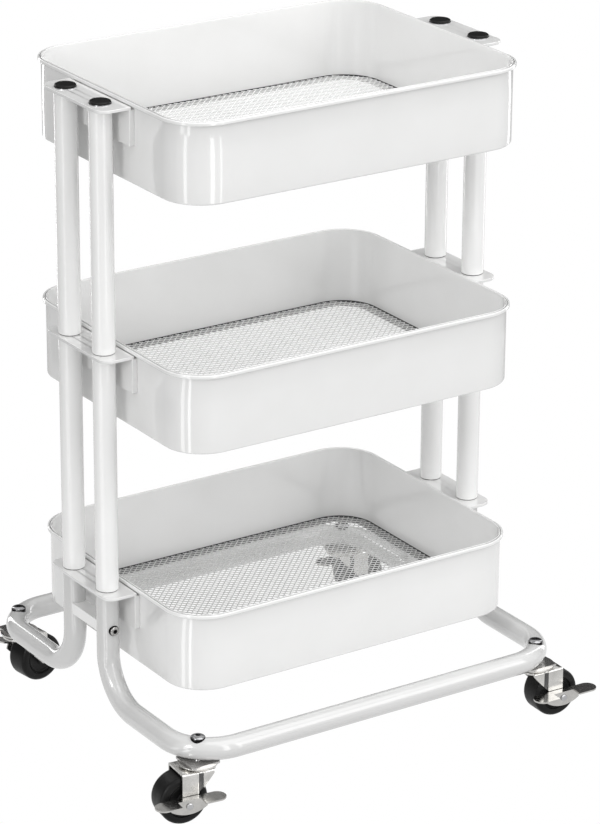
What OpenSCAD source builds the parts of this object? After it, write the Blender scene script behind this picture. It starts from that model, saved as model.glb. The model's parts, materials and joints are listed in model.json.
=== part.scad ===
// Three-tier rolling utility cart, millimetres.
// Floor at z = 0, front at -Y, left at -X, centred on the posts in plan.
// Three sheet-steel trays with mesh floors hang between two pairs of
// posts on bracket plates; two bent tubes carry four braked swivel casters.

/* [Part to show] */
// Which sub-part is drawn

/* [Tiers] */
// Height of the top tray's rim above the floor
top_z = 669; // [640:1:760]
// Height from one tray's rim to the next
tier_step = 240.5; // [215:0.5:242]
// Overall depth of a tray, rim to underside
tray_h = 79; // [60:1:90]

/* [Trays] */
// Outer length of the rim, left to right
rim_l = 385; // [360:1:385]
// Outer width of the rim, front to back
rim_w = 296; // [250:1:310]
// Corner radius of the rim
rim_r = 43; // [30:1:55]
// How far the rim bead stands out from the wall
bead_out = 3; // [2:0.5:4]
// Height of the rim bead
bead_h = 4.5; // [3:0.5:5]
// Sheet thickness of the trays
sheet = 0.8; // [0.8:0.1:1.2]
// Width of the inward flange the mesh floor rests on
flange_w = 12; // [8:1:20]
// Thickness of the mesh floor
mesh_t = 0.6; // [0.6:0.1:1.6]

/* [Posts] */
// Outer diameter of posts and base tubes
tube_d = 22; // [20:0.5:22]
// Wall of the tubes
tube_wall = 1.2; // [1:0.1:2]
// Half distance between left and right posts
post_x = 211; // [211:0.5:214]
// Half distance between the two posts of one side
post_y = 31.7; // [28:0.1:36]
// Thickness of the bracket plates
plate_t = 3; // [2:0.5:3]
// Half length of a bracket plate, front to back
plate_y = 56; // [52:1:64]

/* [Base] */
// Height of the base tubes' centre line
run_z = 70; // [70:0.5:74]
// Distance of the front and rear runs from the middle
run_y = 186; // [176:1:200]
// Bend radius of the base tubes
bend_r = 48; // [40:1:52]
// Height of the crossbars' centre line
bar_z = 144; // [136:1:160]

/* [Casters] */
// Wheel diameter
wheel_d = 49; // [44:0.5:50]
// Wheel width
wheel_w = 25.5; // [20:0.5:25.5]
// Distance the wheel trails behind the swivel axis
trail = 19.5; // [18:0.5:20]
// Swivel angle of the front left caster
turn_front_left = 173; // [0:1:360]
// Swivel angle of the front right caster
turn_front_right = 358; // [0:1:360]
// Swivel angle of the rear left caster
turn_rear_left = 8; // [0:1:360]
// Swivel angle of the rear right caster
turn_rear_right = 355; // [0:1:360]
// Rock of the rear left brake lever, 0 free and 18 locked
rock_rear_left = 18; // [0:1:18]

/* [Hidden] */
$fn = 96;
rim_z = [top_z - 2 * tier_step, top_z - tier_step, top_z];  // bottom, middle, top
wall_l = rim_l - 2 * bead_out;
wall_w = rim_w - 2 * bead_out;
wall_r = rim_r - bead_out;
tube_r = tube_d / 2;
plate_lo = 4 + plate_t;                 // plate underside below the rim top
fit_r = 0.05;                           // radial running clearance
stud_r = 4;
cor = run_y - bend_r;                   // y of the plan corner's centre
cor_x = post_x - bend_r;
stem_x = cor_x + bend_r * cos(45);
stem_y = cor + bend_r * sin(45);
axle_r = 2.5;
axle_z = wheel_d / 2;
fork_in = wheel_w / 2 + 1.5;             // inner face of a fork leg
fork_out = fork_in + 2;
plate_z = 51.3;                         // underside of the fork's plate
tail_x = trail + 3.8;                   // trailing edge of the fork
white = [0.95, 0.95, 0.95];
zinc = [0.72, 0.73, 0.75];
dark = [0.10, 0.10, 0.11];

// ---- plain shapes -------------------------------------------------------

// Rectangle with true round corners
module round_rect(l, w, r) {
  square([l - 2 * r, w], center = true);
  square([l, w - 2 * r], center = true);
  for (sx = [-1, 1], sy = [-1, 1])
    translate([sx * (l / 2 - r), sy * (w / 2 - r)]) circle(r);
}

// Closed band following a rounded rectangle, t wide, its outside given
module band(l, w, r, t, h) {
  linear_extrude(h) difference() {
    round_rect(l, w, r);
    round_rect(l - 2 * t, w - 2 * t, r - t);
  }
}

module rod(r, z0, z1) {
  translate([0, 0, z0]) cylinder(r = r, h = z1 - z0);
}

module tube_section() {
  difference() {
    circle(tube_r);
    circle(tube_r - tube_wall);
  }
}

// ---- trays --------------------------------------------------------------

module tray(z) {
  color(white) translate([0, 0, z]) {
    // rolled rim
    translate([0, 0, -bead_h])
      band(rim_l, rim_w, rim_r, bead_out + sheet, bead_h);
    // wall
    translate([0, 0, -tray_h]) band(wall_l, wall_w, wall_r, sheet, tray_h - bead_h);
    // inward flange under the mesh
    translate([0, 0, -tray_h]) band(wall_l, wall_w, wall_r, sheet + flange_w, sheet);
  }
}

module mesh_floor(z) {
  m = sheet + 1.3;
  color(white) translate([0, 0, z - tray_h + sheet])
    linear_extrude(mesh_t) round_rect(wall_l - 2 * m, wall_w - 2 * m, wall_r - m);
}

// Plate the posts stand on, with a pressed flange welded to the tray's end.
// side is -1 for the left end and +1 for the right end.
module bracket(z, side) {
  x0 = rim_l / 2 + 0.3;                // just clear of the rim
  x1 = post_x + 14.5;
  xw = wall_l / 2;                     // the tray's end wall
  t = 5.5;                             // depth of the pressed flange
  c = 12;                              // plate corner radius
  color(white) translate([0, 0, z]) mirror([side < 0 ? 1 : 0, 0, 0]) difference() {
    union() {
      translate([0, 0, -plate_lo]) linear_extrude(plate_t) {
        translate([x0, -plate_y]) square([x1 - c - x0, 2 * plate_y]);
        translate([x0, -plate_y + c]) square([x1 - x0, 2 * (plate_y - c)]);
        for (s = [-1, 1]) translate([x1 - c, s * (plate_y - c)]) circle(c);
      }
      translate([xw, -plate_y, -41]) cube([t, 2 * plate_y, 41 - plate_lo]);
      translate([x0, -plate_y, -plate_lo - 1]) cube([xw + t - x0, 2 * plate_y, 2]);
    }
    translate([xw - 1, -plate_y + 3, -42]) cube([t - 2.2 + 1, 2 * plate_y - 6, 42 - plate_lo - 2]);
    for (s = [-1, 1]) translate([post_x, s * post_y, -20]) cylinder(r = stud_r + 0.1, h = 30);
  }
}

// ---- posts --------------------------------------------------------------

// Straight post with a drilled plug in each end
module post(sx, sy, z0, z1) {
  color(white) translate([sx * post_x, sy * post_y, 0]) {
    difference() {
      rod(tube_r, z0, z1);
      rod(tube_r - tube_wall, z0 + 12, z1 - 12);
      rod(stud_r + 0.1, z0 - 1, z0 + 13);
      rod(stud_r + 0.1, z1 - 13, z1 + 1);
    }
  }
}

module post_upper(sx, sy) {
  post(sx, sy, rim_z[1] - 4, rim_z[2] - plate_lo);
}

module post_lower(sx, sy) {
  post(sx, sy, rim_z[0] - 4, rim_z[1] - plate_lo);
}

module at_posts() {
  for (sx = [-1, 1], sy = [-1, 1])
    translate([sx * post_x, sy * post_y, 0]) children();
}

// Black screw cap on each post
module caps() {
  z = top_z - 4 + 0.8;
  color(dark) at_posts() translate([0, 0, z]) difference() {
    rotate_extrude() polygon([[0, 0], [9.6, 0], [10.2, 0.5], [10.2, 1.7], [9.4, 2.4],
                              [7.6, 2.6], [7.2, 2.3], [0, 2.3]]);
    translate([0, 0, -1]) cylinder(r = stud_r + 0.1, h = 2.5);
  }
}

module washers() {
  z = top_z - 4;
  color(zinc) at_posts() difference() {
    rod(10.7, z, z + 0.8);
    rod(stud_r + 0.2, z - 1, z + 2);
  }
}

module studs_cap() {
  color(zinc) at_posts() rod(stud_r, top_z - plate_lo - 10, top_z - 4 + 0.8 + 1.2);
}

module studs_joint() {
  color(zinc) at_posts() for (i = [0, 1])
    rod(stud_r, rim_z[i] - plate_lo - 10, rim_z[i] - 4 + 10);
}

// ---- base ---------------------------------------------------------------

// Half of the front base tube, right side, without the run's far half
module base_half() {
  // leg
  translate([post_x, -post_y, run_z + bend_r])
    linear_extrude(rim_z[0] - plate_lo - run_z - bend_r) tube_section();
  // bend from the leg to the horizontal
  translate([post_x, -post_y - bend_r, run_z + bend_r])
    rotate([90, 90, 90]) rotate_extrude(angle = 90)
      translate([bend_r, 0]) tube_section();
  // straight piece towards the front
  translate([post_x, -cor, run_z]) rotate([-90, 0, 0])
    linear_extrude(cor - post_y - bend_r) tube_section();
  // plan corner
  translate([cor_x, -cor, run_z]) rotate([0, 0, -90]) rotate_extrude(angle = 90)
    translate([bend_r, 0]) tube_section();
  // run to the middle
  translate([0, -run_y, run_z]) rotate([90, 0, 90]) linear_extrude(cor_x) tube_section();
  // plug the tray bracket bolts to
  translate([post_x, -post_y, 0]) difference() {
    rod(tube_r - tube_wall / 2, rim_z[0] - plate_lo - 12, rim_z[0] - plate_lo);
    rod(stud_r + 0.1, rim_z[0] - plate_lo - 13, rim_z[0]);
  }
}

module base_tube(side) {
  color(white) mirror([0, side > 0 ? 1 : 0, 0]) difference() {
    union() {
      base_half();
      mirror([1, 0, 0]) base_half();
    }
    for (sx = [-1, 1]) {
      translate([sx * stem_x, -stem_y, run_z - 20]) cylinder(r = stud_r + 0.2, h = 40);
      translate([sx * post_x, -post_y, bar_z]) rotate([90, 0, 0])
        translate([0, 0, -20]) cylinder(r = 3.1, h = 40);
    }
  }
}

// Bar joining the front and rear legs of one side, coped to the tubes
module crossbar(sx) {
  color(white) translate([sx * post_x, 0, bar_z]) difference() {
    cube([15, 2 * post_y - 14, 11], center = true);
    for (s = [-1, 1]) {
      translate([0, s * post_y, -10]) cylinder(r = tube_r + fit_r, h = 20);
      translate([0, s * (post_y - tube_r), 0]) rotate([s * 90, 0, 0])
        translate([0, 0, -3]) cylinder(r = 3, h = 17);
    }
  }
}

// Button-head socket screws through the legs into the crossbars
module screws() {
  color(zinc) for (sx = [-1, 1], sy = [-1, 1])
    translate([sx * post_x, sy * post_y, bar_z]) rotate([sy * -90, 0, 0]) difference() {
      union() {
        rotate_extrude() polygon([[0, -24], [2.9, -24], [2.9, 10], [5.2, 10],
                                  [5.2, 12.0], [4.6, 13.2], [3.4, 13.9], [0, 13.9]]);
      }
      difference() {
        rotate([90, 0, 0]) cylinder(r = tube_r + 0.03, h = 20, center = true);
        cylinder(r = 2.9, h = 40, center = true);
      }
      translate([0, 0, 12.3]) cylinder(r = 2.3, h = 5, $fn = 6);
    }
}

// ---- casters: parts fixed to the cart ------------------------------------

module at_stems() {
  for (sx = [-1, 1], sy = [-1, 1])
    translate([sx * stem_x, sy * stem_y, 0]) children();
}

module stems() {
  color(zinc) at_stems() {
    rod(stud_r, plate_z - 1.3, run_z + tube_r + 0.6);
    rod(5.6, plate_z - 2.3, plate_z - 0.3);
  }
}

// Domed sleeve nut on top of the tube, its foot shaped to the bend
module nuts() {
  z0 = run_z + tube_r;
  color(dark) for (sx = [-1, 1], sy = [-1, 1]) difference() {
    translate([sx * stem_x, sy * stem_y, 0]) difference() {
      translate([0, 0, z0 - 3]) rotate_extrude()
        polygon([[0, 0], [7.2, 0], [7.2, 3.6], [6.6, 4.6], [5.2, 5.4], [3.4, 5.8], [0, 5.9]]);
      rod(stud_r + 0.1, z0 - 4, z0 + 0.8);
      translate([0, 0, z0 + 1.4]) cylinder(r = 2.4, h = 5, $fn = 6);
    }
    translate([sx * cor_x, sy * cor, run_z]) rotate_extrude()
      translate([bend_r, 0]) circle(tube_r + 0.03);
  }
}

// Square plate under the tube at each caster
module square_plates() {
  z1 = run_z - tube_r - 0.1;
  color(zinc) for (sx = [-1, 1], sy = [-1, 1])
    translate([sx * stem_x, sy * stem_y, z1 - 1.9]) difference() {
      linear_extrude(1.9) round_rect(31, 31, 1.5);
      translate([0, 0, -1]) cylinder(r = stud_r + 0.1, h = 5);
    }
}

// Upper half of the ball race, a shallow bowl
module cups() {
  z1 = run_z - tube_r - 2;
  z0 = plate_z + 2.3;
  color(zinc) at_stems() difference() {
    rotate_extrude() polygon([[0, z0], [14, z0], [16.2, z0 + 0.3], [17.8, z0 + 0.9],
                              [19, z0 + 1.9], [19.5, z1 - 0.4], [19.3, z1], [0, z1]]);
    rod(stud_r + 0.1, 0, 100);
  }
}

// ---- casters: moving parts ----------------------------------------------
// Local frame: swivel axis on Z, wheel trailing towards +X.
// brake = +1 puts the lever on the +Y side, -1 on the -Y side.

module place(sx, sy, turn) {
  translate([sx * stem_x, sy * stem_y, 0]) rotate([0, 0, turn]) children();
}

// One leg of the fork seen from the side, as a flat outline
module leg_outline() {
  polygon([[-10, plate_z + 2], [-10, plate_z - 2], [-8, plate_z - 7], [9, 29],
           [trail - 4.5, axle_z - 1], [tail_x, axle_z], [tail_x, plate_z + 2]]);
  translate([trail, axle_z]) circle(4.6);
}

module fork() {
  color(zinc) difference() {
    union() {
      translate([0, 0, plate_z]) linear_extrude(2)
        polygon([[tail_x, -fork_out], [tail_x, fork_out], [-10, fork_out], [-14.5, fork_out - 5],
                 [-17, 5], [-17, -5], [-14.5, 5 - fork_out], [-10, -fork_out]]);
      for (s = [-1, 1]) translate([0, s * (fork_in + 1), 0]) rotate([90, 0, 0])
        linear_extrude(2, center = true) leg_outline();
    }
    rod(stud_r + fit_r, 0, 100);
    translate([trail, 0, axle_z]) rotate([90, 0, 0])
      cylinder(r = axle_r + 0.03, h = 60, center = true);
    // pressed rib line down each leg
    for (s = [-1, 1]) translate([0.5, s * fork_out - 0.8, 0]) cube([5, 1.6, plate_z - 0.5]);
  }
}

module axle(brake) {
  color(zinc) translate([trail, 0, axle_z]) rotate([-90 * brake, 0, 0])
    rotate_extrude() polygon([
      [0, -fork_out - 1.6], [2.6, -fork_out - 1.6], [3.4, -fork_out - 1],
      [3.4, -fork_out - 0.1], [axle_r, -fork_out - 0.1], [axle_r, fork_out + 8.1],
      [3.4, fork_out + 8.1], [3.4, fork_out + 8.9], [2.6, fork_out + 9.6],
      [0, fork_out + 9.6]]);
}

module wheel() {
  h = wheel_w / 2;
  R = wheel_d / 2;
  f = 4;                               // shoulder radius
  side = concat([[axle_r + fit_r, h + 1], [6.5, h + 1], [7.2, h - 2], [16.2, h - 2], [17.4, h]],
                [for (a = [90 : -15 : 0]) [R - f + f * cos(a), h - f + f * sin(a)]]);
  n = len(side);
  color(dark) translate([trail, 0, axle_z]) rotate([90, 0, 0]) rotate_extrude()
    polygon(concat(side, [for (i = [n - 1 : -1 : 0]) [side[i][0], -side[i][1]]]));
}

// Rocking brake lever: a folded channel on the axle, with an ear to each side
module brake_lever(brake, rock = 0) {
  y0 = fork_out + 0.75;
  y1 = y0 + 7;
  ear_z = axle_z + 4.7;
  color(zinc) mirror([0, brake < 0 ? 1 : 0, 0])
  translate([trail, 0, axle_z]) rotate([0, rock, 0]) translate([0, 0, -axle_z]) difference() {
    union() {
      // inner cheek next to the fork
      translate([0, y0 + 1.5, axle_z]) rotate([90, 0, 0]) linear_extrude(1.5) {
        circle(6);
        translate([-9, 0]) square([18, 5.5]);
      }
      // outer half-moon
      translate([0, y1, axle_z]) rotate([90, 0, 0]) linear_extrude(1.5) intersection() {
        translate([0, 24.5]) circle(33);
        translate([-18.5, -20]) square([37, 26.2]);
      }
      // shelf joining cheeks and ears
      translate([-18.5, y0, ear_z]) cube([37, 7, 1.5]);
      // ears
      for (s = [-1, 1]) translate([0, 0, ear_z]) linear_extrude(1.5) {
        translate([s > 0 ? 12 : -27, y0]) square([15, 18]);
        translate([s * 27, y0 + 9]) circle(9);
      }
    }
    translate([0, 0, axle_z]) rotate([90, 0, 0])
      cylinder(r = axle_r + fit_r, h = 80, center = true);
  }
}

// ---- nodes --------------------------------------------------------------

tray(rim_z[2]);  // basket_top
tray(rim_z[1]);  // basket_middle
tray(rim_z[0]);  // basket_bottom
mesh_floor(rim_z[2]);  // mesh_floor_top
mesh_floor(rim_z[1]);  // mesh_floor_middle
mesh_floor(rim_z[0]);  // mesh_floor_bottom
bracket(rim_z[2], -1);  // bracket_top_left
bracket(rim_z[2], 1);  // bracket_top_right
bracket(rim_z[1], -1);  // bracket_middle_left
bracket(rim_z[1], 1);  // bracket_middle_right
bracket(rim_z[0], -1);  // bracket_bottom_left
bracket(rim_z[0], 1);  // bracket_bottom_right
post_upper(-1, -1);  // post_upper_front_left
post_upper(1, -1);  // post_upper_front_right
post_upper(-1, 1);  // post_upper_rear_left
post_upper(1, 1);  // post_upper_rear_right
post_lower(-1, -1);  // post_lower_front_left
post_lower(1, -1);  // post_lower_front_right
post_lower(-1, 1);  // post_lower_rear_left
post_lower(1, 1);  // post_lower_rear_right
base_tube(-1);  // base_tube_front
base_tube(1);  // base_tube_rear
crossbar(-1);  // crossbar_left
crossbar(1);  // crossbar_right
screws();  // crossbar_screws
caps();  // post_caps
washers();  // cap_washers
studs_cap();  // cap_studs
studs_joint();  // joint_studs
stems();  // caster_stems
nuts();  // caster_nuts
square_plates();  // mounting_plates
cups();  // bearing_cups
place(-1, -1, turn_front_left) fork();  // fork_front_left
place(1, -1, turn_front_right) fork();  // fork_front_right
place(-1, 1, turn_rear_left) fork();  // fork_rear_left
place(1, 1, turn_rear_right) fork();  // fork_rear_right
place(-1, -1, turn_front_left) axle(1);  // axle_front_left
place(1, -1, turn_front_right) axle(-1);  // axle_front_right
place(-1, 1, turn_rear_left) axle(1);  // axle_rear_left
place(1, 1, turn_rear_right) axle(1);  // axle_rear_right
place(-1, -1, turn_front_left) wheel();  // wheel_front_left
place(1, -1, turn_front_right) wheel();  // wheel_front_right
place(-1, 1, turn_rear_left) wheel();  // wheel_rear_left
place(1, 1, turn_rear_right) wheel();  // wheel_rear_right
place(-1, -1, turn_front_left) brake_lever(1);  // brake_lever_front_left
place(1, -1, turn_front_right) brake_lever(-1);  // brake_lever_front_right
place(-1, 1, turn_rear_left) brake_lever(1, rock_rear_left);  // brake_lever_rear_left
place(1, 1, turn_rear_right) brake_lever(1);  // brake_lever_rear_right
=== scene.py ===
import json, math
import bpy
from mathutils import Vector, Matrix


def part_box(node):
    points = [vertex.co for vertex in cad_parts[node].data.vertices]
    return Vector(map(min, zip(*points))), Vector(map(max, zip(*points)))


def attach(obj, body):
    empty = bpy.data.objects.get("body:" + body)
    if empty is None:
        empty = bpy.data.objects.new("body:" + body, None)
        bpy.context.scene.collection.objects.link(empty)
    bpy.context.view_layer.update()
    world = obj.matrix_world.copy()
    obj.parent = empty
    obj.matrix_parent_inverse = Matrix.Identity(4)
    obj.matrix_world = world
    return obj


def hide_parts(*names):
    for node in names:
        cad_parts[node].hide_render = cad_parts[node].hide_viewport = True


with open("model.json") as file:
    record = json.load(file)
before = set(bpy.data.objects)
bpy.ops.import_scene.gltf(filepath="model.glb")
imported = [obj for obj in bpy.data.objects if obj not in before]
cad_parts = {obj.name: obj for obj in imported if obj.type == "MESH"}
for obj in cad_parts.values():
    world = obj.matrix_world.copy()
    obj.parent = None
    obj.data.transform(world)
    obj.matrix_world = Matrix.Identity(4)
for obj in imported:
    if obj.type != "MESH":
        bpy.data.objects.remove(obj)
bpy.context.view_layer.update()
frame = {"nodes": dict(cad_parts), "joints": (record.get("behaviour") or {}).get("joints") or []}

N = frame["nodes"]
sc = bpy.context.scene
MM = 0.001

# --------------------------------------------------------------------------
# camera: the photograph's viewing angle
# --------------------------------------------------------------------------
AZ, EL, ROLL = math.radians(-33.405), math.radians(21.472), math.radians(0.363)
back = Vector((math.sin(AZ) * math.cos(EL), -math.cos(AZ) * math.cos(EL), math.sin(EL)))
right = Vector((math.cos(AZ), math.sin(AZ), 0.0))
up = back.cross(right)
r2 = right * math.cos(ROLL) + up * math.sin(ROLL)
u2 = -right * math.sin(ROLL) + up * math.cos(ROLL)
cd = bpy.data.cameras.new("camera")
cam = bpy.data.objects.new("camera", cd)
sc.collection.objects.link(cam)
cam.matrix_world = Matrix(((r2.x, u2.x, back.x, -1.7847),
                           (r2.y, u2.y, back.y, -2.7497),
                           (r2.z, u2.z, back.z, 1.5995),
                           (0, 0, 0, 1)))
cd.sensor_fit = "AUTO"
cd.sensor_width = 36.0
cd.lens = 36.0 * 3601.6 / 824.0
cd.clip_start, cd.clip_end = 0.05, 60.0
sc.camera = cam

# --------------------------------------------------------------------------
# materials
# --------------------------------------------------------------------------


class Nodes:
    """Small helper for building a material's node tree."""

    def __init__(self, name):
        self.m = bpy.data.materials.new(name)
        self.m.use_nodes = True
        self.t = self.m.node_tree
        self.b = self.t.nodes["Principled BSDF"]
        self.co = self.t.nodes.new("ShaderNodeTexCoord").outputs["Object"]

    def new(self, kind, **kw):
        n = self.t.nodes.new(kind)
        for k, v in kw.items():
            setattr(n, k, v)
        return n

    def link(self, a, b):
        self.t.links.new(a, b)

    def noise(self, scale, detail=2.0, rough=0.5, stretch=None):
        n = self.new("ShaderNodeTexNoise")
        n.inputs["Scale"].default_value = scale
        n.inputs["Detail"].default_value = detail
        n.inputs["Roughness"].default_value = rough
        if stretch:
            m = self.new("ShaderNodeMapping")
            m.inputs["Scale"].default_value = stretch
            self.link(self.co, m.inputs["Vector"])
            self.link(m.outputs["Vector"], n.inputs["Vector"])
        else:
            self.link(self.co, n.inputs["Vector"])
        return n.outputs["Fac"]

    def span(self, v, lo, hi, a, b):
        r = self.new("ShaderNodeMapRange")
        r.inputs["From Min"].default_value = lo
        r.inputs["From Max"].default_value = hi
        r.inputs["To Min"].default_value = a
        r.inputs["To Max"].default_value = b
        self.link(v, r.inputs["Value"])
        return r.outputs["Result"]

    def mix(self, f, a, b):
        n = self.new("ShaderNodeMix", data_type="RGBA")
        n.inputs[6].default_value = (*a, 1)
        n.inputs[7].default_value = (*b, 1)
        self.link(f, n.inputs["Factor"])
        return n.outputs[2]

    def bump(self, h, strength, dist, chain=None):
        n = self.new("ShaderNodeBump")
        n.inputs["Strength"].default_value = strength
        n.inputs["Distance"].default_value = dist
        self.link(h, n.inputs["Height"])
        if chain:
            self.link(chain, n.inputs["Normal"])
        return n.outputs["Normal"]


def powder(name, tint=0.84, rough=0.16, coat=1.0):
    """Gloss white powder coat: fine orange peel, faint cloudiness."""
    k = Nodes(name)
    cloud = k.span(k.noise(22.0, 3.0), 0.3, 0.7, 0.0, 1.0)
    t = tint
    k.link(k.mix(cloud, (t, t, t * 0.995), (t * 0.975, t * 0.975, t * 0.968)), k.b.inputs["Base Color"])
    k.link(k.span(k.noise(160.0, 2.0), 0.3, 0.7, rough - 0.03, rough + 0.05), k.b.inputs["Roughness"])
    peel = k.noise(520.0, 2.0, 0.45)
    k.link(k.bump(peel, 0.05, 0.00006), k.b.inputs["Normal"])
    k.b.inputs["IOR"].default_value = 1.5
    k.b.inputs["Coat Weight"].default_value = coat
    k.b.inputs["Coat Roughness"].default_value = 0.02
    k.b.inputs["Coat IOR"].default_value = 1.6
    return k.m


def zinc(name, tint=(0.66, 0.66, 0.67), rough=0.20, stretch=(60, 60, 900)):
    """Bright zinc plate over rolled steel: faint drawing lines and blotches."""
    k = Nodes(name)
    blot = k.span(k.noise(90.0, 4.0, 0.6), 0.35, 0.7, 0.0, 1.0)
    k.link(k.mix(blot, tint, tuple(c * 0.82 for c in tint)), k.b.inputs["Base Color"])
    k.b.inputs["Metallic"].default_value = 1.0
    line = k.noise(8.0, 3.0, 0.6, stretch)
    k.link(k.span(line, 0.3, 0.7, rough - 0.05, rough + 0.10), k.b.inputs["Roughness"])
    k.link(k.bump(line, 0.03, 0.00003), k.b.inputs["Normal"])
    return k.m


def black(name, tint=0.012, rough=0.32, grain=1400.0, strength=0.10, coat=0.0, spec=0.5):
    """Moulded or lacquered black with a fine grain and dusty variation."""
    k = Nodes(name)
    dust = k.span(k.noise(70.0, 4.0, 0.6), 0.35, 0.75, 0.0, 1.0)
    k.link(k.mix(dust, (tint,) * 3, (tint * 2.0,) * 3), k.b.inputs["Base Color"])
    k.link(k.span(k.noise(240.0, 3.0), 0.3, 0.7, rough - 0.05, rough + 0.08), k.b.inputs["Roughness"])
    k.link(k.bump(k.noise(grain, 2.0), strength, 0.00006), k.b.inputs["Normal"])
    k.b.inputs["Coat Weight"].default_value = coat
    k.b.inputs["Coat Roughness"].default_value = 0.1
    k.b.inputs["Specular IOR Level"].default_value = spec
    return k.m


def plated_with_painted_shade(name, cx, cy, plane, r_socket_shade, r_foot_shadow, tint, rough, dark=0.01):
    """Plated screw head or nut: the socket in the middle is painted dark as shade in the recess, and a dark line
    round the foot is a painted contact shadow.

    The middle is at (+-cx, +-cy) in the given plane of the part's own space.
    """
    k = Nodes(name)
    sep = k.new("ShaderNodeSeparateXYZ")
    k.link(k.co, sep.inputs[0])
    sq = []
    for ch, c in ((0, cx), ("xyz".index(plane), cy)):
        ab = k.new("ShaderNodeMath", operation="ABSOLUTE")
        k.link(sep.outputs[ch], ab.inputs[0])
        su = k.new("ShaderNodeMath", operation="SUBTRACT")
        k.link(ab.outputs[0], su.inputs[0])
        su.inputs[1].default_value = c
        po = k.new("ShaderNodeMath", operation="MULTIPLY")
        k.link(su.outputs[0], po.inputs[0])
        k.link(su.outputs[0], po.inputs[1])
        sq.append(po.outputs[0])
    ad = k.new("ShaderNodeMath", operation="ADD")
    k.link(sq[0], ad.inputs[0])
    k.link(sq[1], ad.inputs[1])
    rt = k.new("ShaderNodeMath", operation="SQRT")
    k.link(ad.outputs[0], rt.inputs[0])
    rad = rt.outputs[0]
    # socket painted dark as shade in the recess, and a ring round the foot painted as contact shadow
    socket_shade = k.span(rad, r_socket_shade - 0.00015, r_socket_shade + 0.00015, 1.0, 0.0)
    ring = k.span(rad, r_foot_shadow - 0.0002, r_foot_shadow + 0.0002, 0.0, 1.0)
    mx = k.new("ShaderNodeMath", operation="MAXIMUM")
    k.link(socket_shade, mx.inputs[0])
    k.link(ring, mx.inputs[1])
    blot = k.span(k.noise(300.0, 3.0), 0.3, 0.7, 0.0, 1.0)
    base = k.mix(blot, tint, tuple(c * 0.85 for c in tint))
    n = k.new("ShaderNodeMix", data_type="RGBA")
    k.link(mx.outputs[0], n.inputs["Factor"])
    k.link(base, n.inputs[6])
    n.inputs[7].default_value = (dark, dark, dark, 1)
    k.link(n.outputs[2], k.b.inputs["Base Color"])
    k.b.inputs["Metallic"].default_value = 1.0
    k.link(k.span(k.noise(500.0, 2.0), 0.3, 0.7, rough - 0.03, rough + 0.06), k.b.inputs["Roughness"])
    return k.m


M_white = powder("powder_coat_tray")
# posts and crossbars: the same white powder coat made lighter than the trays, painted light
M_tube_painted_light = powder("powder_coat_tube_painted_light", 0.91, 0.16, 0.6)
M_plate = powder("powder_coat_plate", 0.79, 0.18, 0.7)
# one mesh paint in three copies: lightest on the top tray as painted light, darker on the middle and bottom trays
# as painted shade
M_mesh_lit_and_shaded = {"top": powder("powder_coat_mesh_top_painted_light", 0.86, 0.26, 0.4),
          "middle": powder("powder_coat_mesh_middle_painted_shade", 0.74, 0.26, 0.4),
          "bottom": powder("powder_coat_mesh_bottom_painted_shade", 0.60, 0.26, 0.4)}
# flange under the mesh floor painted dark as the shade beneath the floor
M_flange_painted_shade = powder("powder_coat_flange_painted_shade", 0.16, 0.30, 0.2)
# near-black paint for joint lines, a painted shadow in the gaps
M_seam_painted_shadow = powder("powder_coat_seam_shadow", 0.05, 0.6, 0.0)
# grey paint for the rim groove, painted shade
M_groove_painted_shade = powder("powder_coat_rim_groove_painted_shade", 0.42, 0.35, 0.2)
M_zinc = zinc("zinc_plate_fork", (0.72, 0.71, 0.69), 0.20)
# near-black zinc for the fork leg crease, painted shade in the bend
M_zinc_crease_painted_shade = zinc("zinc_plate_crease_painted_shade", (0.13, 0.13, 0.13), 0.25)
M_zinc_plate = zinc("zinc_plate_mount", (0.62, 0.61, 0.60), 0.22, (300, 300, 60))
M_zinc_cup = zinc("zinc_plate_cup", (0.74, 0.73, 0.71), 0.14, (60, 60, 1500))
M_zinc_lever = zinc("zinc_plate_lever", (0.62, 0.61, 0.59), 0.17, (300, 40, 40))
M_zinc_stud = zinc("zinc_plate_stud", (0.55, 0.55, 0.56), 0.22, (400, 400, 400))
# screw and nut plating with a painted shade socket and a painted shadow round the foot
M_screw = plated_with_painted_shade("plated_button_screw_painted_shade", 0.211, 0.144, "z", 0.0022, 0.0046, (0.50, 0.49, 0.48), 0.20)
M_nut = plated_with_painted_shade("plated_dome_nut_painted_shade", 0.19694, 0.17194, "y", 0.0022, 0.0069, (0.42, 0.42, 0.43), 0.12)
M_cap = black("black_cap_plastic", 0.004, 0.34, 900.0, 0.25, 0.0, 0.25)
M_wheel = black("black_wheel_nylon", 0.005, 0.36, 1100.0, 0.12, 0.0, 0.18)


def paint(node, mat):
    o = N[node]
    if not o.data.materials:
        o.data.materials.append(mat)
    for i in range(len(o.data.materials)):
        o.data.materials[i] = mat


def dress(node, mat, bevel=0.0, seg=2, angle=30):
    """Material and softened edges for a carried-over CAD node."""
    paint(node, mat)
    o = N[node]
    w = o.modifiers.new("weld", "WELD")
    w.merge_threshold = 2e-6
    if bevel:
        b = o.modifiers.new("edge", "BEVEL")
        b.width = bevel
        b.segments = seg
        b.limit_method = "ANGLE"
        b.angle_limit = math.radians(angle)
        b.harden_normals = False
        b.use_clamp_overlap = True
        n = o.modifiers.new("normals", "WEIGHTED_NORMAL")
        n.keep_sharp = True
        n.weight = 80


# --------------------------------------------------------------------------
# mesh helpers
# --------------------------------------------------------------------------


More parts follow.
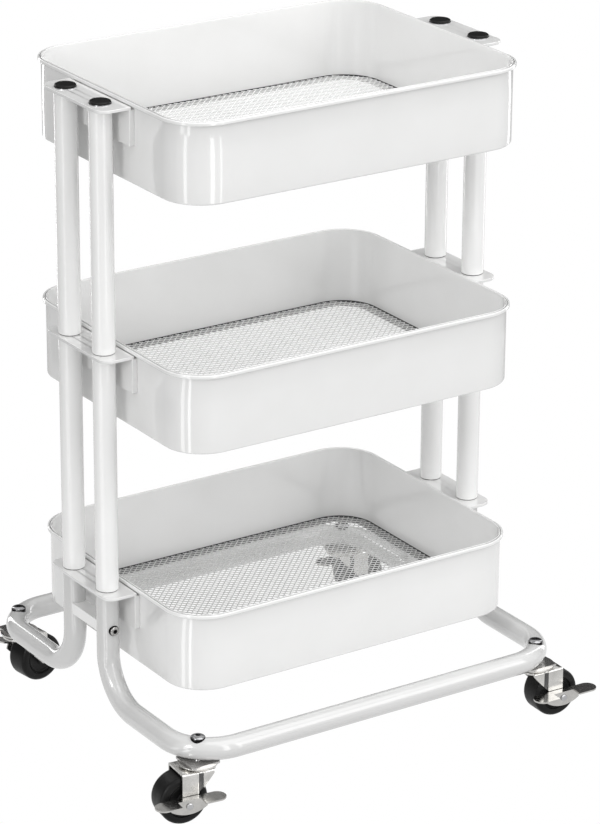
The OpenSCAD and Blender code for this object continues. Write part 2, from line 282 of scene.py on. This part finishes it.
def build(name, verts, faces, mats, body, rep=(), fmat=None, sharp=38, smooth=True):
    me = bpy.data.meshes.new(name)
    me.from_pydata([tuple(v) for v in verts], [], faces)
    for m in mats:
        me.materials.append(m)
    if fmat:
        me.polygons.foreach_set("material_index", fmat)
    if smooth:
        me.polygons.foreach_set("use_smooth", [True] * len(me.polygons))
        me.set_sharp_from_angle(angle=math.radians(sharp))
    me.validate()
    me.update()
    o = bpy.data.objects.new(name, me)
    sc.collection.objects.link(o)
    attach(o, body)
    if rep:
        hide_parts(*rep)
    return o


def rr_path(l, w, r, n=22, near=1.2 * MM):
    """Points (x, y, nx, ny) round a rounded rectangle, counter-clockwise."""
    hx, hy = l / 2 - r, w / 2 - r
    out = []
    cs = ((hx, hy), (-hx, hy), (-hx, -hy), (hx, -hy))
    for k, (cx, cy) in enumerate(cs):
        a0 = k * math.pi / 2
        for i in range(n + 1):
            a = a0 + i * (math.pi / 2) / n
            out.append((cx + r * math.cos(a), cy + r * math.sin(a), math.cos(a), math.sin(a)))
        x, y, nx, ny = out[-1]
        nx, ny = round(nx), round(ny)
        out[-1] = (x, y, nx, ny)
        tx, ty = -ny, nx
        d = 2 * (hx if nx == 0 else hy)
        for f in (near, d * 0.25, d * 0.5, d * 0.75, d - near):
            out.append((x + tx * f, y + ty * f, nx, ny))
    return out


def arc(cu, cz, r, a0, a1, n):
    return [(cu + r * math.cos(math.radians(a0 + (a1 - a0) * i / n)),
             cz + r * math.sin(math.radians(a0 + (a1 - a0) * i / n))) for i in range(n + 1)]


def sweep(path, prof, z0):
    """Closed profile of (u outward, z) carried round a closed path."""
    vs, fs = [], []
    m = len(prof)
    for (x, y, nx, ny) in path:
        for (u, z) in prof:
            vs.append((x + nx * u, y + ny * u, z0 + z))
    n = len(path)
    for i in range(n):
        j = (i + 1) % n
        for k in range(m):
            l = (k + 1) % m
            fs.append((i * m + k, j * m + k, j * m + l, i * m + l))
    return vs, fs


# --------------------------------------------------------------------------
# trays
# --------------------------------------------------------------------------
WL, WW, WR = 379 * MM, 290 * MM, 40 * MM
RIM = {"top": 669 * MM, "middle": 428.5 * MM, "bottom": 188 * MM}
H = 79 * MM


def tray_profile():
    """Section of the tray wall, counter-clockwise seen with u to the right and z up.

    Returns the points and the material index of the face that starts at each.
    """
    p, f = [], []

    def add(pts, mat=0):
        p.extend(pts)
        f.extend([mat] * len(pts))

    # outside, upwards: bottom bend, wall, then the rolled bead
    add(arc(-2.0, -77.0, 2.0, -90, 0, 6))
    add([(0.0, -60.0), (0.0, -30.0), (0.0, -5.1)])
    # the face under the bead is painted grey as the shadow below the bead
    add([(0.15, -4.75)], 2)
    add(arc(1.55, -3.05, 1.45, -75, 0, 6))
    add(arc(1.75, -1.55, 1.25, 0, 125, 9))
    # groove between the bead and the raised inner edge, painted grey as shade in the groove
    f[-1] = 2
    add([(0.88, -1.35), (0.6, -1.5), (0.38, -1.2)], 2)
    add(arc(-0.22, -0.58, 0.58, 8, 180, 8))
    # inside, downwards
    add([(-0.8, -6.0), (-0.8, -30.0), (-0.8, -60.0)])
    # the strip of wall beside the mesh edge is painted near-black as the shadow in the seam
    add([(-0.8, -76.75)], 1)
    # seam against the mesh, then the inward flange the mesh rests on, painted dark as shade seen through the mesh
    add([(-0.8, -78.2)], 3)
    add([(-1.2, -78.2)], 3)
    add([(-12.6, -78.2)], 3)
    add([(-12.8, -78.4), (-12.8, -78.8), (-12.6, -79.0)], 3)
    return p, f


def tray(name, key, body="cart_frame"):
    z = RIM[key]
    p, f = tray_profile()
    prof = [(u * MM, zz * MM) for u, zz in p]
    path = rr_path(WL, WW, WR)
    vs, fs = sweep(path, prof, z)
    return build(name, vs, fs, [M_white, M_seam_painted_shadow, M_groove_painted_shade, M_flange_painted_shade], body, (name,),
                 f * len(path))


def inside_range(c, d, l, w, r):
    """Range of t for which the point c + t d lies in a rounded rectangle, or None."""

    def sd(t):
        x, y = abs(c[0] + t * d[0]) - (l / 2 - r), abs(c[1] + t * d[1]) - (w / 2 - r)
        return math.hypot(max(x, 0), max(y, 0)) + min(max(x, y), 0) - r

    ts = [i * 0.002 - 0.35 for i in range(351)]
    best = min(ts, key=sd)
    if sd(best) > -0.0015:
        return None
    out = []
    for s in (-1, 1):
        a, b = best, best + s * 0.7
        for _ in range(26):
            q = (a + b) / 2
            if sd(q) < 0:
                a = q
            else:
                b = q
        out.append(a)
    return out


PITCH = 5.0 * MM


def mesh_floor(name, key, body="cart_frame"):
    """Expanded-mesh floor: flattened strands crossing in square diamonds."""
    z0 = RIM[key] - H + 0.8 * MM
    vs, fs = [], []
    w2 = 0.56 * MM
    sec = [(-w2, 0.25), (-w2 * 0.6, 0.0), (w2 * 0.6, 0.0), (w2, 0.25),
           (w2, 0.55), (w2 * 0.55, 0.85), (-w2 * 0.55, 0.85), (-w2, 0.55)]
    m = len(sec)
    l, w, r = WL - 3.4 * MM, WW - 3.4 * MM, WR - 1.7 * MM
    for sgn in (1, -1):
        d = (math.sqrt(0.5), sgn * math.sqrt(0.5))
        nrm = (-d[1], d[0])
        for i in range(-48, 49):
            off = (i + 0.5) * PITCH
            c = (nrm[0] * off, nrm[1] * off)
            t = inside_range(c, d, l, w, r)
            if not t:
                continue
            b = len(vs)
            lift = 0.0 if sgn > 0 else 0.30
            for tt in t:
                for (q, h) in sec:
                    vs.append((c[0] + d[0] * tt + nrm[0] * q, c[1] + d[1] * tt + nrm[1] * q,
                               z0 + (h + lift) * MM))
            for k in range(m):
                n2 = (k + 1) % m
                fs.append((b + k, b + m + k, b + m + n2, b + n2))
            fs.append(tuple(b + k for k in range(m)))
            fs.append(tuple(b + m + k for k in reversed(range(m))))
    # each tray's mesh copy is toned for its level: painted light on top, painted shade below
    return build(name, vs, fs, [M_mesh_lit_and_shaded[key]], body, (name,), smooth=False)


for key in ("top", "middle", "bottom"):
    tray("basket_" + key, key)
    mesh_floor("mesh_floor_" + key, key)

# --------------------------------------------------------------------------
# posts and bent base tubes
# --------------------------------------------------------------------------
TUBE_R = 11.0 * MM
POST_X, POST_Y = 211 * MM, 31.7 * MM


def lathe(name, prof, fmat, cx, cy, mats, body, rep, seg=64):
    """Closed profile of (r, z) turned about the vertical through (cx, cy)."""
    vs, fs, fm = [], [], []
    m = len(prof)
    for i in range(seg):
        a = 2 * math.pi * i / seg
        for rr, z in prof:
            vs.append((cx + rr * math.cos(a), cy + rr * math.sin(a), z))
    for i in range(seg):
        j = (i + 1) % seg
        for k in range(m):
            l = (k + 1) % m
            fs.append((i * m + k, j * m + k, j * m + l, i * m + l))
            fm.append(fmat[k])
    return build(name, vs, fs, mats, body, rep, fm, sharp=40)


def post(name, sx, sy, z0, z1):
    """Straight tube with a rounded lower edge and a dark joint line under it, painted near-black as the shadow in
    the joint.
    """
    R = 11.0
    pts = [(9.8, z0), (10.45, z0), (10.45, z0 + 0.55), (10.75, z0 + 0.62), (10.93, z0 + 0.85), (R, z0 + 1.3),
           (R, z0 + 30), (R, z1 - 30), (R, z1 - 0.9), (10.9, z1 - 0.45), (10.5, z1 - 0.1), (10.3, z1), (9.8, z1)]
    # the two lowest faces carry the painted joint shadow
    fm = [1, 1, 0, 0, 0, 0, 0, 0, 0, 0, 0, 0, 0]
    prof = [(a * MM, b * MM) for a, b in pts]
    lathe(name, prof, fm, sx * POST_X, sy * POST_Y, [M_tube_painted_light, M_seam_painted_shadow], "cart_frame", (name,))


def base_path():
    """Centre line of the front base tube, left leg top to right leg top."""
    rb, rz, ry = 48.0, 70.0, 186.0
    px, py, top = 211.0, 31.7, 181.0
    cor, cx = ry - rb, px - rb
    half = []                                   # from the top of the right leg to the middle of the run
    for z in (top, top - 0.6, 160.0, 140.0, rz + rb + 0.5):
        half.append((px, -py, z))
    for i in range(25):
        a = math.radians(90.0 * i / 24)
        half.append((px, -py - rb + rb * math.cos(a), rz + rb - rb * math.sin(a)))
    for t in (0.02, 0.5, 0.98):
        y = -(py + rb) + t * (py + rb - cor)
        half.append((px, y, rz))
    for i in range(25):
        a = math.radians(90.0 * i / 24)
        half.append((cx + rb * math.cos(a), -cor - rb * math.sin(a), rz))
    for x in (cx - 1.0, cx * 0.66, cx * 0.33, 0.0):
        half.append((x, -ry, rz))
    left = [(-x, y, z) for x, y, z in half[:-1]]
    return [Vector(q) * MM for q in left + list(reversed(half))]


def base_tube(name, side):
    path = [Vector((q.x, q.y * side, q.z)) for q in base_path()]
    n, seg = len(path), 48
    tan = []
    for i in range(n):
        a, b = path[max(i - 1, 0)], path[min(i + 1, n - 1)]
        tan.append((b - a).normalized())
    ref = Vector((1, 0, 0))
    vs, fs = [], []
    for i in range(n):
        ref = (ref - tan[i] * ref.dot(tan[i])).normalized()
        oth = tan[i].cross(ref)
        R = TUBE_R
        for k in range(seg):
            a = 2 * math.pi * k / seg
            vs.append(path[i] + ref * (R * math.cos(a)) + oth * (R * math.sin(a)))
    for i in range(n - 1):
        for k in range(seg):
            l = (k + 1) % seg
            fs.append((i * seg + k, i * seg + l, (i + 1) * seg + l, (i + 1) * seg + k))
    for end in (0, n - 1):
        # short inner wall and plug face closing each end
        base = len(vs)
        c = path[end]
        inward = tan[end] if end == 0 else -tan[end]
        ring = [vs[end * seg + k] for k in range(seg)]
        for dep, sc_ in ((0.0, 0.89), (1.5, 0.89), (1.5, 0.0)):
            if sc_ == 0.0:
                vs.append(c + inward * (dep * MM))
            else:
                for q in ring:
                    vs.append(c + (q - c) * sc_ + inward * (dep * MM))
        for k in range(seg):
            l = (k + 1) % seg
            quads = [(end * seg + k, end * seg + l, base + l, base + k),
                     (base + k, base + l, base + seg + l, base + seg + k),
                     (base + seg + k, base + seg + l, base + 2 * seg)]
            for qd in quads:
                fs.append(qd if end else tuple(reversed(qd)))
    return build(name, vs, fs, [M_base_painted_shade], "cart_frame", (name,), sharp=50)


for sx, sxn in ((-1, "left"), (1, "right")):
    for sy, syn in ((-1, "front"), (1, "rear")):
        post("post_upper_%s_%s" % (syn, sxn), sx, sy, 424.5, 662.0)
        post("post_lower_%s_%s" % (syn, sxn), sx, sy, 184.0, 421.5)
# base tubes: the same white powder coat made darker, painted shade against the floor's bounced light
M_base_painted_shade = powder("powder_coat_base_painted_shade", 0.63, 0.14, 1.0)
base_tube("base_tube_front", 1)
base_tube("base_tube_rear", -1)

# --------------------------------------------------------------------------
# carried-over CAD nodes
# --------------------------------------------------------------------------
for n in N:
    if n.startswith("bracket_"):
        dress(n, M_plate, 0.5 * MM, 3)
    elif n in ("crossbar_left", "crossbar_right"):
        dress(n, M_tube_painted_light, 0.8 * MM, 3, 40)
    elif n == "crossbar_screws":
        dress(n, M_screw, 0.25 * MM, 2, 40)
    elif n == "post_caps":
        dress(n, M_cap, 0.25 * MM, 2, 25)
    elif n in ("cap_washers", "cap_studs", "joint_studs", "caster_stems"):
        dress(n, M_zinc_stud, 0.15 * MM, 2)
    elif n == "caster_nuts":
        dress(n, M_nut, 0.25 * MM, 2, 40)
    elif n == "mounting_plates":
        dress(n, M_zinc_plate, 0.3 * MM, 2)
    elif n == "bearing_cups":
        dress(n, M_zinc_cup, 0.3 * MM, 3, 25)
    elif n.startswith("fork_"):
        dress(n, M_zinc, 0.4 * MM, 3)
    elif n.startswith("axle_"):
        dress(n, M_zinc_stud, 0.3 * MM, 2, 25)
    elif n.startswith("brake_lever"):
        dress(n, M_zinc_lever, 0.35 * MM, 2)

# --------------------------------------------------------------------------
# caster forks: one bent sheet with two creased legs
# --------------------------------------------------------------------------
TRAIL, FORK_OUT, PLATE_TOP, AXLE_Z = 19.5, 16.25, 53.3, 24.5
TAIL = TRAIL + 3.8


def fork(corner):
    """Top plate and two legs; each leg is flat behind the crease and turns inwards in front of it."""
    j = [q for q in frame["joints"] if q["name"] == "swivel_" + corner][0]
    k = [q for q in frame["joints"] if q["name"] == "roll_" + corner][0]
    o = Vector((j["pos_m"][0], j["pos_m"][1], 0))
    ex = Vector((k["pos_m"][0], k["pos_m"][1], 0)) - o
    ex.normalize()
    ez = Vector((0, 0, 1))
    ey = ez.cross(ex)

    def at(x, y, z):
        return o + ex * (x * MM) + ey * (y * MM) + ez * (z * MM)

    # plan line of a leg's outer face: x, y (outwards), lowest z at that x
    def low(x):
        if x >= TRAIL - 4.2:
            d = x - TRAIL
            return AXLE_Z - math.sqrt(max(4.6 ** 2 - min(d * d, 4.6 ** 2), 0.0)) if abs(d) < 4.6 else AXLE_Z
        if x >= 9.0:
            t = (x - 9.0) / (TRAIL - 4.2 - 9.0)
            return 29.0 + (AXLE_Z - 1.9 - 29.0) * t
        t = (x + 10.0) / 19.0
        return PLATE_TOP - 4.0 + (29.0 - PLATE_TOP + 4.0) * max(t, 0.0) ** 0.92

    line = []
    for x in (TAIL, TAIL - 0.25, TAIL - 1.5, TAIL - 3.8, TAIL - 5.5, TAIL - 7.0, TAIL - 8.0, 13.5, 11.5, 9.0, 7.6):
        line.append((x, FORK_OUT))
    for x, d in ((6.6, 0.06), (6.2, 0.25), (5.9, 0.7), (5.5, 1.05), (4.6, 1.2), (3.4, 1.25), (2.3, 1.15), (1.7, 0.85), (1.3, 0.35), (0.9, 0.12)):
        line.append((x, FORK_OUT - d))
    for x in (0.2, -1.2, -3.0, -5.0, -7.0, -8.6, -9.4, -10.0):
        line.append((x, FORK_OUT - 0.1 - max(0.0, -x - 1.0) * 0.09))
    vs, fs, fm = [], [], []
    n = len(line)
    zr = 2.0                                     # bend radius from leg to plate
    rows = 9
    for s in (1, -1):
        b = len(vs)
        for x, y in line:
            zl = low(x)
            col = [(y, zl), (y, (zl + PLATE_TOP - zr) / 2), (y, PLATE_TOP - zr)]
            for q in (30, 60, 90):
                a = math.radians(q)
                col.append((y - zr + zr * math.cos(a), PLATE_TOP - zr + zr * math.sin(a)))
            inn = y - 1.9
            col += [(inn - 1.6, PLATE_TOP - 2.0), (inn, PLATE_TOP - 3.6), (inn, zl)]
            for yy, zz in col:
                vs.append(at(x, s * yy, zz))
        for i in range(n - 1):
            for r in range(rows):
                q = (r + 1) % rows
                f = (b + i * rows + r, b + i * rows + q, b + (i + 1) * rows + q, b + (i + 1) * rows + r)
                fs.append(f if s > 0 else tuple(reversed(f)))
                # outer faces along the crease get the dark zinc, painted shade in the bend
                fm.append(1 if 1.5 < line[i][0] < 6.4 and r < 2 else 0)
        for i in (0, n - 1):
            f = tuple(b + i * rows + r for r in range(rows))
            fs.append(f if (i > 0) == (s > 0) else tuple(reversed(f)))
            fm.append(0)
    # top plate with a rounded nose under the race
    half = [(TAIL, 14.3), (TAIL - 4, 14.3), (7.6, 14.3), (0.0, 14.2), (-7.0, 13.7), (-10.0, 13.3)]
    for i in range(1, 9):
        a = math.radians(127 + i * 53 / 8)
        half.append((17.0 * math.cos(a), 17.0 * math.sin(a)))
    ring = half + [(x, -y) for x, y in reversed(half[:-1])]
    b = len(vs)
    m = len(ring)
    for zz, g in ((PLATE_TOP - 2.0, 0.0), (PLATE_TOP - 0.35, 0.0), (PLATE_TOP - 0.1, 0.12), (PLATE_TOP, 0.35)):
        for x, y in ring:
            l = math.hypot(x, y) or 1.0
            vs.append(at(x - g * x / l, y - g * y / l, zz))
    for r in range(3):
        for i in range(m):
            q = (i + 1) % m
            fs.append((b + r * m + i, b + r * m + q, b + (r + 1) * m + q, b + (r + 1) * m + i))
    fs.append(tuple(b + 3 * m + i for i in range(m)))
    fs.append(tuple(b + i for i in reversed(range(m))))
    fm += [0] * (len(fs) - len(fm))
    return build("fork_sheet_" + corner, vs, fs, [M_zinc, M_zinc_crease_painted_shade], "caster_" + corner,
                 ("fork_" + corner,), fm, sharp=32)


# --------------------------------------------------------------------------
# wheels
# --------------------------------------------------------------------------


def wheel(corner):
    node = "wheel_" + corner
    lo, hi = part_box(node)
    j = [q for q in frame["joints"] if q["name"] == "roll_" + corner][0]
    c = Vector(j["pos_m"])
    ax = Vector(j["axis"]).normalized()
    e1 = Vector((0, 0, 1))
    e2 = ax.cross(e1)
    half = [(2.56, 13.7), (5.9, 13.7), (6.3, 13.4), (6.5, 12.8), (6.9, 11.1), (7.3, 10.7)]
    half += [(13.0, 10.7), (13.4, 10.9), (13.7, 11.4), (14.2, 11.6), (15.0, 11.6), (15.4, 11.3), (15.7, 10.9),
             (16.2, 10.8), (16.6, 11.0), (16.9, 12.2), (17.2, 12.6), (17.7, 12.75)]
    half += [(20.5 + 4.0 * math.sin(math.radians(a)), 8.75 + 4.0 * math.cos(math.radians(a)))
             for a in range(0, 91, 9)]
    half += [(24.5, 4.0)]
    prof = half + [(r, -y) for r, y in reversed(half)]
    seg = 96
    vs, fs = [], []
    for i in range(seg):
        a = 2 * math.pi * i / seg
        rad = e1 * math.cos(a) + e2 * math.sin(a)
        for r, y in prof:
            vs.append(c + rad * (r * MM) + ax * (y * MM))
    m = len(prof)
    for i in range(seg):
        j2 = (i + 1) % seg
        for k in range(m):
            l = (k + 1) % m
            fs.append((i * m + k, i * m + l, j2 * m + l, j2 * m + k))
    return build("tyre_" + corner, vs, fs, [M_wheel], "rolling_wheel_" + corner, (node,), sharp=28)


for c in ("front_left", "front_right", "rear_left", "rear_right"):
    wheel(c)
    fork(c)

# --------------------------------------------------------------------------
# studio
# --------------------------------------------------------------------------
sc.view_settings.view_transform = "Standard"
sc.view_settings.look = "None"
sc.view_settings.exposure = 0.0
sc.view_settings.gamma = 1.0

fm = bpy.data.materials.new("studio_floor")
fm.use_nodes = True
ft = fm.node_tree
ft.nodes.clear()
em = ft.nodes.new("ShaderNodeEmission")
em.inputs["Color"].default_value = (1, 1, 1, 1)
em.inputs["Strength"].default_value = 1.0
ft.links.new(em.outputs[0], ft.nodes.new("ShaderNodeOutputMaterial").inputs["Surface"])
me = bpy.data.meshes.new("floor")
S = 9.0
me.from_pydata([(-S, -S, 0), (S, -S, 0), (S, S, 0), (-S, S, 0)], [], [(0, 1, 2, 3)])
me.materials.append(fm)
fo = bpy.data.objects.new("floor", me)
sc.collection.objects.link(fo)

w = bpy.data.worlds.new("studio")
sc.world = w
w.use_nodes = True
wt = w.node_tree
bg = wt.nodes["Background"]
tc = wt.nodes.new("ShaderNodeTexCoord")
sep = wt.nodes.new("ShaderNodeSeparateXYZ")
wt.links.new(tc.outputs["Generated"], sep.inputs[0])
dotn = wt.nodes.new("ShaderNodeVectorMath")
dotn.operation = "DOT_PRODUCT"
wt.links.new(tc.outputs["Generated"], dotn.inputs[0])
dotn.inputs[1].default_value = (0.55, 0.835, 0.0)
mr = wt.nodes.new("ShaderNodeMapRange")
mr.interpolation_type = "SMOOTHSTEP"
mr.inputs["From Min"].default_value = 0.15
mr.inputs["From Max"].default_value = 0.75
mr.inputs["To Min"].default_value = 0.0
mr.inputs["To Max"].default_value = 1.0
wt.links.new(dotn.outputs["Value"], mr.inputs["Value"])
ze = wt.nodes.new("ShaderNodeMapRange")
ze.interpolation_type = "SMOOTHSTEP"
ze.inputs["From Min"].default_value = 0.55
ze.inputs["From Max"].default_value = 0.75
ze.inputs["To Min"].default_value = 1.0
ze.inputs["To Max"].default_value = 0.0
wt.links.new(sep.outputs["Z"], ze.inputs["Value"])
mu = wt.nodes.new("ShaderNodeMath")
mu.operation = "MULTIPLY"
wt.links.new(mr.outputs["Result"], mu.inputs[0])
wt.links.new(ze.outputs["Result"], mu.inputs[1])
mx = wt.nodes.new("ShaderNodeMix")
mx.data_type = "RGBA"
mx.inputs[6].default_value = (0.96, 0.96, 0.96, 1)
mx.inputs[7].default_value = (0.06, 0.06, 0.06, 1)
lp = wt.nodes.new("ShaderNodeLightPath")
gl = wt.nodes.new("ShaderNodeMath")
gl.operation = "MULTIPLY"
wt.links.new(mu.outputs[0], gl.inputs[0])
wt.links.new(lp.outputs["Is Glossy Ray"], gl.inputs[1])
wt.links.new(gl.outputs[0], mx.inputs["Factor"])
wt.links.new(mx.outputs[2], bg.inputs["Color"])
bg.inputs["Strength"].default_value = 1.0


def softbox(name, loc, aim, sx, sy, watts):
    d = bpy.data.lights.new(name, "AREA")
    d.shape = "RECTANGLE"
    d.size, d.size_y = sx, sy
    d.energy = watts
    o = bpy.data.objects.new(name, d)
    sc.collection.objects.link(o)
    o.location = loc
    o.rotation_mode = "QUATERNION"
    o.rotation_quaternion = (Vector(aim) - Vector(loc)).to_track_quat("-Z", "Y")
    o.visible_camera = False
    return o


softbox("key", (1.5, -2.3, 1.6), (0, 0, 0.35), 1.4, 1.4, 12)
softbox("key_left", (-2.45, -0.95, 1.35), (-0.1, 0, 0.35), 0.55, 0.55, 13)
softbox("overhead", (0.4, -0.9, 2.5), (0, 0, 0.4), 2.4, 2.0, 19)
softbox("back_fill", (0.3, 2.6, 1.1), (0, 0, 0.35), 1.8, 1.2, 9).visible_glossy = False


def tall_strip(name, az, dist, width, height, radiance):
    """Upright strip standing on the floor, seen only in reflections."""
    a = math.radians(az)
    z = height / 2 + 0.01
    o = softbox(name, (dist * math.cos(a), dist * math.sin(a), z), (0, 0, z), width, height,
                radiance * math.pi * width * height)
    o.visible_diffuse = False
    return o


tall_strip("strip_a", 262, 1.25, 0.22, 1.3, 2.3)
tall_strip("strip_b", 284, 1.25, 0.10, 1.3, 2.0)
tall_strip("strip_c", 200, 1.25, 0.16, 1.3, 2.2)
tall_strip("strip_d", 5, 1.25, 0.16, 1.3, 3.2)
tall_strip("strip_e", 100, 1.25, 0.16, 1.3, 4.0)


def flag(name, az, dist, width, height, tone):
    """Dark card standing beside the cart, out of frame, to shade the edges."""
    a = math.radians(az)
    c = Vector((dist * math.cos(a), dist * math.sin(a), 0))
    t = Vector((-math.sin(a), math.cos(a), 0)) * (width / 2)
    me = bpy.data.meshes.new(name)
    me.from_pydata([c - t, c + t, c + t + Vector((0, 0, height)), c - t + Vector((0, 0, height))],
                   [], [(0, 1, 2, 3)])
    m = bpy.data.materials.new(name)
    m.use_nodes = True
    tr = m.node_tree
    tr.nodes.clear()
    e = tr.nodes.new("ShaderNodeEmission")
    e.inputs["Color"].default_value = (tone, tone, tone, 1)
    tr.links.new(e.outputs[0], tr.nodes.new("ShaderNodeOutputMaterial").inputs["Surface"])
    me.materials.append(m)
    o = bpy.data.objects.new(name, me)
    sc.collection.objects.link(o)
    o.visible_camera = False
    return o


# grey card over the floor, seen only in reflections and bounced light
me = bpy.data.meshes.new("floor_card")
me.from_pydata([(-S, -S, 0.0004), (S, -S, 0.0004), (S, S, 0.0004), (-S, S, 0.0004)], [], [(0, 1, 2, 3)])
cm = bpy.data.materials.new("floor_card")
cm.use_nodes = True
ct = cm.node_tree
ct.nodes.clear()
cc = ct.nodes.new("ShaderNodeTexCoord")
cl = ct.nodes.new("ShaderNodeVectorMath")
cl.operation = "LENGTH"
ct.links.new(cc.outputs["Object"], cl.inputs[0])
cr = ct.nodes.new("ShaderNodeMapRange")
cr.interpolation_type = "SMOOTHSTEP"
cr.inputs["From Min"].default_value = 0.35
cr.inputs["From Max"].default_value = 1.1
cr.inputs["To Min"].default_value = 0.82
cr.inputs["To Max"].default_value = 0.50
ct.links.new(cl.outputs["Value"], cr.inputs["Value"])
ce = ct.nodes.new("ShaderNodeEmission")
ct.links.new(cr.outputs["Result"], ce.inputs["Strength"])
ct.links.new(ce.outputs[0], ct.nodes.new("ShaderNodeOutputMaterial").inputs["Surface"])
me.materials.append(cm)
co = bpy.data.objects.new("floor_card", me)
sc.collection.objects.link(co)
co.visible_camera = False

flag("flag_left", 150, 1.05, 1.2, 1.4, 0.25)


def floor_streak(name, az, half, r0, r1, radiance):
    """Bright wedge lying on the floor left of the front left tray corner, seen only in reflections."""
    cx, cy = WR - WL / 2, WR - WW / 2
    pts = []
    for r, s in ((r0, -1), (r1, -1), (r1, 1), (r0, 1)):
        a = math.radians(az + s * half)
        pts.append((cx + r * math.cos(a), cy + r * math.sin(a), 0.0008))
    me = bpy.data.meshes.new(name)
    me.from_pydata(pts, [], [(0, 1, 2, 3)])
    m = bpy.data.materials.new(name)
    m.use_nodes = True
    tr = m.node_tree
    tr.nodes.clear()
    e = tr.nodes.new("ShaderNodeEmission")
    e.inputs["Strength"].default_value = radiance
    tr.links.new(e.outputs[0], tr.nodes.new("ShaderNodeOutputMaterial").inputs["Surface"])
    me.materials.append(m)
    o = bpy.data.objects.new(name, me)
    sc.collection.objects.link(o)
    o.visible_camera = False
    o.visible_diffuse = False


floor_streak("streak_left_a", 205, 3.5, 0.2, 1.1, 3.2)
floor_streak("streak_left_b", 186, 5.0, 0.2, 1.1, 2.4)
